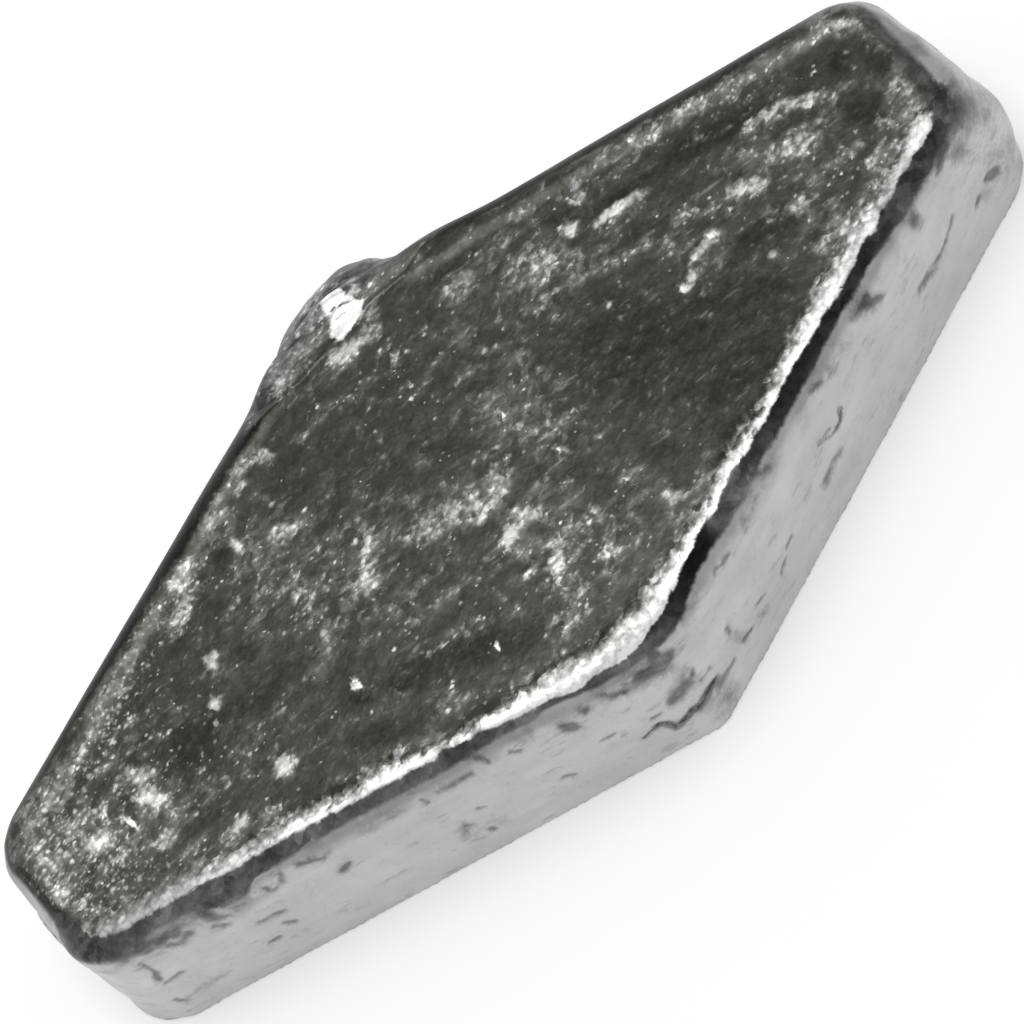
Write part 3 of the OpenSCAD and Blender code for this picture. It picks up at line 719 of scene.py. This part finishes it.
class Graph:
    """One node material. Most methods add nodes and return an output socket."""

    def __init__(self, name):
        self.material = bpy.data.materials.new(name)
        self.material.use_nodes = True
        self.tree = self.material.node_tree
        self.tree.nodes.clear()
        self.shader = self.tree.nodes.new("ShaderNodeBsdfPrincipled")
        output = self.tree.nodes.new("ShaderNodeOutputMaterial")
        self.tree.links.new(self.shader.outputs[0], output.inputs[0])

    def put(self, socket, value):
        if isinstance(value, bpy.types.NodeSocket):
            self.tree.links.new(value, socket)
        elif isinstance(value, tuple) and len(value) == 3 and socket.type == "RGBA":
            socket.default_value = value + (1,)
        else:
            socket.default_value = value

    def shade(self, name, value):
        self.put(self.shader.inputs[name], value)

    def add(self, kind, inputs, out=0, **settings):
        node = self.tree.nodes.new(kind)
        for key, value in settings.items():
            setattr(node, key, value)
        for key, value in inputs.items():
            self.put(node.inputs[key], value)
        return node.outputs[out]

    def attribute(self, name):
        return self.add("ShaderNodeAttribute", {}, out="Fac", attribute_name=name)

    def coordinates(self, stretch=(1, 1, 1), turn=0):
        """Object coordinates in millimetres, drawn out along a heading in plan, in degrees."""
        place = self.add("ShaderNodeTexCoord", {}, out="Object")
        scale = tuple(MM * s for s in stretch)
        inputs = {"Vector": place, "Rotation": (0, 0, math.radians(turn)), "Scale": scale}
        return self.add("ShaderNodeMapping", inputs, vector_type="TEXTURE")

    def noise(self, at, scale, detail=3.0, rough=0.5, warp=0.0):
        inputs = {"Vector": at, "Scale": scale, "Detail": detail, "Roughness": rough, "Distortion": warp}
        return self.add("ShaderNodeTexNoise", inputs)

    def cells(self, at, scale):
        """Cells seen in plan: the distance to each one's middle, and its three random draws."""
        inputs = {"Vector": at, "Scale": scale}
        cell = self.add("ShaderNodeTexVoronoi", inputs, voronoi_dimensions="2D").node
        draws = self.add("ShaderNodeSeparateColor", {0: cell.outputs["Color"]}).node
        return cell.outputs["Distance"], draws.outputs

    def lumps(self, at, scale):
        """Ragged cells' random tones, and lumps as bright as those."""
        distance, draws = self.cells(at, scale)
        return draws[0], self.times(draws[0], self.step(distance, 0.75, 0.0))

    def dots(self, at, scale, radius, share):
        """Small bright dots, one in each cell whose draw is under the share."""
        distance, draws = self.cells(at, scale)
        size = self.math("MULTIPLY_ADD", draws[1], radius * scale * 0.8, radius * scale * 0.4)
        spot = self.step(self.math("DIVIDE", distance, size), 1.5, 0.15)
        drawn = self.math("LESS_THAN", draws[0], share)
        return self.times(spot, self.times(drawn, self.math("MULTIPLY_ADD", draws[2], 0.6, 0.4)))

    def torn(self, at, scale, reach):
        """Places shifted at random by up to half the reach."""
        noise = self.add("ShaderNodeTexNoise", {"Vector": at, "Scale": scale, "Detail": 2.0}, out="Color")
        inputs = {0: noise, 1: (reach, reach, reach), 2: (-reach / 2, -reach / 2, -reach / 2)}
        shift = self.add("ShaderNodeVectorMath", inputs, operation="MULTIPLY_ADD")
        return self.add("ShaderNodeVectorMath", {0: at, 1: shift}, operation="ADD")

    def math(self, operation, a, b=0.0, c=0.0):
        return self.add("ShaderNodeMath", {0: a, 1: b, 2: c}, operation=operation)

    def times(self, a, b):
        return self.math("MULTIPLY", a, b)

    def total(self, *values):
        """The sum of the values, where a pair is a value and its weight."""
        parts = [self.times(*value) if isinstance(value, tuple) else value for value in values]
        result = parts[0]
        for part in parts[1:]:
            result = self.math("ADD", result, part)
        return result

    def swing(self, noise, amount):
        """Noise about 0 instead of about 0.5."""
        return self.math("MULTIPLY_ADD", noise, amount, -amount / 2)

    def step(self, value, low, high):
        inputs = {"Value": value, "From Min": low, "From Max": high}
        return self.add("ShaderNodeMapRange", inputs, interpolation_type="SMOOTHSTEP")

    def lerp(self, share, a, b):
        return self.add("ShaderNodeMix", {0: share, 2: a, 3: b}, out=0, data_type="FLOAT")

    def blend(self, share, a, b, kind="MIX"):
        return self.add("ShaderNodeMix", {0: share, 6: a, 7: b}, out=2, data_type="RGBA", blend_type=kind)

    def paint(self, tone, tint):
        """Base colour from a tone times a tint."""
        grey = self.blend(self.math("POWER", tone, 2.2), (0.0, 0.0, 0.0), WHITE)
        self.shade("Base Color", self.blend(1.0, grey, tint, "MULTIPLY"))

    def bump(self, height, distance, strength):
        inputs = {"Height": height, "Distance": distance * MM, "Strength": strength}
        self.shade("Normal", self.add("ShaderNodeBump", inputs))


# The lead. Each function takes the graph g and n, the noises and fields that its parts share.
def lead_noises(g):
    at = g.coordinates()
    drawn = g.coordinates(stretch=(1.4, 1, 1), turn=12)
    ragged = g.torn(drawn, 2.8, reach=0.32)
    flake, lump = g.lumps(ragged, 3.2)
    chip, crumb = g.lumps(ragged, 6.5)
    return SimpleNamespace(
        broad=g.noise(at, 0.35, detail=2),
        cloud=g.noise(at, 1.1, warp=0.3),
        curd=g.noise(at, 3.0, detail=2, warp=0.4),
        fine=g.noise(at, 7.0, detail=1),
        streak=g.noise(g.coordinates(stretch=(2.2, 1, 1), turn=-6), 1.5, warp=0.2),
        smear=g.noise(g.coordinates(stretch=(2.6, 2.6, 1)), 0.8, detail=4, rough=0.55),
        drawn=drawn, flake=flake, lump=lump, chip=chip, crumb=crumb,
        **{name: g.attribute(name) for name in body_fields},
    )


def face_haze(g, n):
    """How far the face is covered with haze, 0 to 1."""
    level = g.total(
        n.pale, n.haze, g.swing(n.broad, 0.8), g.swing(n.cloud, 1.0), g.swing(n.streak, 1.5),
        g.swing(n.flake, 0.3), (n.dark, -0.5),
    )
    return g.step(level, -0.05, 1.00)


def face_ground(g, n, haze):
    """The face's dark ground, a painted reflection of the dark room, with haze, pale curds and scratches."""
    curdled = g.total(
        n.pale, (haze, 0.15), g.swing(n.curd, 1.1), g.swing(n.streak, 0.9), (n.lump, 0.6), (n.crumb, 0.35),
    )
    curds = g.step(curdled, 0.42, 1.50)
    face = g.total(FACE_TONE, (haze, 0.14), (curds, 0.36), (g.step(n.dark, 0, 1), -0.06))
    scratch = g.noise(g.coordinates(stretch=(7.0, 1, 1), turn=-10), 3.2, detail=2)
    where = g.step(g.total(n.cloud, g.swing(n.curd, 0.6)), 0.42, 0.62)
    scratched = g.times(g.step(scratch, 0.60, 0.72), where)
    face = g.total(face, g.swing(n.curd, 0.08), g.swing(n.fine, 0.05), g.swing(n.streak, 0.05))
    return g.total(face, g.swing(n.cloud, 0.07), (scratched, 0.13))


def face_glints(g, n, face, haze):
    """The face with its flakes, crumbs and seams, and its painted glints: dots and bright spots."""
    grain = g.total(g.swing(n.flake, 0.06), g.swing(n.chip, 0.07))
    crowd = g.total(n.sparkle, g.swing(n.cloud, 1.2), (haze, 0.25), (n.dark, -0.35))
    crumbs = g.times(g.step(n.crumb, 0.35, 0.75), g.step(crowd, 0.1, 1.0))
    face = g.total(face, (grain, g.math("MULTIPLY_ADD", haze, 1.6, 0.3)), (crumbs, 0.15))
    nicked = g.torn(n.drawn, 8.0, reach=0.13)
    large = g.dots(nicked, 2.6, radius=0.095, share=g.math("MULTIPLY_ADD", crowd, 0.60, -0.03))
    small = g.dots(nicked, 4.2, radius=0.065, share=g.math("MULTIPLY_ADD", crowd, 0.45, 0.05))
    face = g.lerp(g.math("MAXIMUM", large, g.times(small, 0.7)), face, DOT_TONE)
    spot = g.step(g.total(n.bright, g.swing(n.curd, 0.8), g.swing(n.flake, 0.3)), 0.25, 0.75)
    face = g.lerp(spot, face, g.total(GLINT_TONE, g.swing(n.curd, 0.3)))
    seam = g.step(g.total(n.seam, g.swing(n.fine, 1.5)), 1.5, 0.4)
    return g.lerp(g.times(seam, 0.5), face, SEAM_TONE)


def side_skin(g, n):
    """The sides: clean pale skin, pale as a painted reflection, smeared, stained, painted with shade on the
    right end and just below the dark band, and darker along the foot.
    """
    side = g.total(SIDE_TONE, g.swing(n.smear, 0.12), g.swing(n.curd, 0.04))
    torn = g.total(n.stain, g.swing(n.curd, 1.1), g.swing(n.fine, 0.6), g.swing(n.cloud, 0.7))
    # Near the cracks the sides darken further, painted shade
    torn = g.total(torn, (g.step(n.crack, 6.0, 1.0), 0.5))
    side = g.total(side, (g.step(torn, 0.0, 0.9), -0.15), (g.step(torn, 0.5, 1.3), -0.17))
    mottle = g.total(g.swing(n.curd, 0.22), g.swing(n.fine, 0.14))
    side = g.total(side, (g.step(torn, 0.2, 1.0), mottle))
    long_way = g.coordinates(stretch=(2.6, 2.6, 1))
    stray = g.step(g.noise(long_way, 1.9, detail=4, rough=0.6), 0.59, 0.70)
    patchy = g.step(g.total(n.smear, g.swing(n.cloud, 0.5)), 0.35, 0.65)
    # Painted shade in patches just below the dark band
    shade_below_band = g.times(g.step(n.to_hollow, -1.3, -0.5), patchy)
    foot = g.step(n.profile, 7.75, 8.0)
    return g.total(side, (stray, -0.08), (shade_below_band, -0.10), (foot, -0.08))


def rim_shade_band(g, n, side):
    """The side with the dark band under the bright edge, which is painted shade."""
    to_hollow = g.total(n.to_hollow, g.swing(n.cloud, 0.3), g.swing(n.curd, 0.2), (n.pale, -0.4))
    mottle = g.total(g.swing(n.cloud, 0.30), g.swing(n.curd, 0.26), g.swing(n.fine, 0.1))
    below = g.times(g.step(to_hollow, 0.7, 0.1), 0.15)
    lighter = g.total(SHADE_BAND_LIFT, below, mottle, mottle, mottle, g.swing(n.flake, 0.4))
    hollow = g.times(n.hollow_tone, lighter)
    return g.lerp(g.step(g.math("DIVIDE", to_hollow, n.fade), -1.0, 1.0), side, hollow)


def highlight_and_wear_edge(g, n):
    """Where the rim's bright edge lies, 0 to 1, and the tone of its shine: a painted highlight, with some
    wear.
    """
    from_inside = g.total(
        n.past_bright, g.swing(n.curd, 0.6), g.swing(n.flake, 0.4), g.swing(n.chip, 0.2),
        g.swing(n.cloud, 0.4),
    )
    from_outside = g.total(
        n.to_bright, g.swing(n.curd, 0.16), g.swing(n.flake, 0.10), g.swing(n.cloud, 0.12),
    )
    between = g.times(g.step(from_inside, -0.45, 0.32), g.step(from_outside, -0.04, 0.08))
    core = g.step(from_outside, 0.75, 0.20)
    shine = g.total(
        SHINE_TONE, (n.gleam, 0.27), (core, 0.25), (n.lump, 0.38), (n.crumb, 0.16),
        g.swing(n.curd, 0.45), g.swing(n.fine, 0.2),
    )
    return g.times(between, n.gleam), g.math("MINIMUM", shine, 1.0)


def lead_material():
    g = Graph("cast_lead")
    n = lead_noises(g)
    haze = face_haze(g, n)
    face = face_glints(g, n, face_ground(g, n, haze), haze)
    ragged_end = g.total(n.past_face, g.swing(n.curd, 0.5), g.swing(n.cloud, 0.3))
    on_top = g.math("MAXIMUM", g.step(ragged_end, 0.18, -0.18), n.gate)
    # The face on top, and under it the sides with the painted shade of the dark band below the rim
    skin = g.lerp(on_top, rim_shade_band(g, n, side_skin(g, n)), face)
    # The rim's bright edge: a painted highlight, with some wear
    highlight_and_wear, shine = highlight_and_wear_edge(g, n)
    skin = g.lerp(highlight_and_wear, skin, shine)
    # Painted shade along the cracks, which the relief also sinks
    split = g.step(g.total(n.crack, g.swing(n.curd, 3.0), g.swing(n.fine, 2.0)), 1.7, 0.4)
    skin = g.lerp(g.times(split, 0.65), skin, CRACK_TONE)

    # The sides are a cool grey, and the face is faintly yellow where it is dark
    warm = g.blend(g.step(skin, 0.2, 0.6), (0.98, 1.0, 0.87), (1.0, 1.0, 0.99))
    g.paint(skin, g.blend(g.step(n.past_face, 0.6, -0.2), COOL_GREY, warm))
    g.shade("Metallic", 1.0)
    g.shade("Roughness", g.total(0.36, (haze, 0.12), (highlight_and_wear, 0.06)))
    curdled = g.total((n.curd, 0.6), (n.lump, 0.3))
    height = g.lerp(g.step(n.to_hollow, -0.3, 0.2), g.times(n.smear, 0.3), curdled)
    g.bump(height, distance=0.05, strength=0.4)
    return g.material


def steel_material(name, tone, film):
    """Drawn or pressed stainless steel under a thin grey film."""
    g = Graph(name)
    at = g.coordinates()
    cloud = g.noise(at, 1.5, detail=4, rough=0.6)
    fine = g.noise(at, 8.0, detail=2, rough=0.6)
    dull = g.step(g.total(cloud, g.swing(fine, 0.4)), 0.42, 0.62)
    g.paint(g.total(tone, (dull, -film), g.swing(fine, 0.08)), COOL_GREY)
    g.shade("Metallic", 1.0)
    g.shade("Roughness", g.math("MULTIPLY_ADD", dull, 0.2, 0.3))
    g.bump(g.total(cloud, (fine, 0.3)), distance=0.02, strength=0.4)
    return g.material


body.data.materials.append(lead_material())
collar_steel = steel_material("collar_steel", tone=0.70, film=0.14)
tube_steel = steel_material("tube_steel", tone=0.74, film=0.08)
for collar in collars.values():
    collar.data.materials.append(collar_steel)
for node, steel in (("left_collar", collar_steel), ("right_collar", collar_steel), ("line_tube", tube_steel)):
    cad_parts[node].data.materials.clear()
    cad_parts[node].data.materials.append(steel)


# Stage, lamps and world
FLOOR_HALF = 0.8


def seen_white(g, strength):
    """Adds light to a stage material for camera, glossy and transmission rays alone."""
    path = g.tree.nodes.new("ShaderNodeLightPath")
    mirrored = g.math("MAXIMUM", path.outputs["Is Glossy Ray"], path.outputs["Is Transmission Ray"])
    seen = g.math("MAXIMUM", path.outputs["Is Camera Ray"], mirrored)
    g.shade("Emission Color", WHITE)
    g.shade("Emission Strength", g.times(seen, strength))


def add_stage():
    mesh = bpy.data.meshes.new("floor")
    r = FLOOR_HALF
    mesh.from_pydata([(-r, -r, 0), (r, -r, 0), (r, r, 0), (-r, r, 0)], [], [(0, 1, 2, 3)])
    floor = add_object("floor", mesh)
    g = Graph("floor")
    g.shade("Base Color", (0.85, 0.85, 0.85))
    g.shade("Roughness", 0.9)
    g.shade("Specular IOR Level", 0.0)
    seen_white(g, 0.3)
    mesh.materials.append(g.material)


def add_lamp(name, place, aim, size, power):
    data = bpy.data.lights.new(name, "AREA")
    data.shape = "RECTANGLE"
    data.size, data.size_y = size[0] * MM, size[1] * MM
    data.energy = power
    lamp = add_object(name, data)
    lamp.location = Vector(place) * MM
    lamp.rotation_euler = (Vector(place) - Vector(aim)).to_track_quat("Z", "Y").to_euler()


def add_world(grey, strength):
    world = bpy.data.worlds.new("studio")
    bpy.context.scene.world = world
    world.use_nodes = True
    world.node_tree.nodes["Background"].inputs["Color"].default_value = (grey, grey, grey, 1)
    world.node_tree.nodes["Background"].inputs["Strength"].default_value = strength


add_camera()
add_stage()
add_lamp("overhead", place=(0, 40, 300), aim=(0, 0, 0), size=(160, 160), power=0.25)
add_lamp("behind", place=(0, 250, 62), aim=(0, 10, 5), size=(110, 60), power=0.06)
add_world(grey=0.6, strength=1.0)
bpy.context.scene.view_settings.view_transform = "Standard"
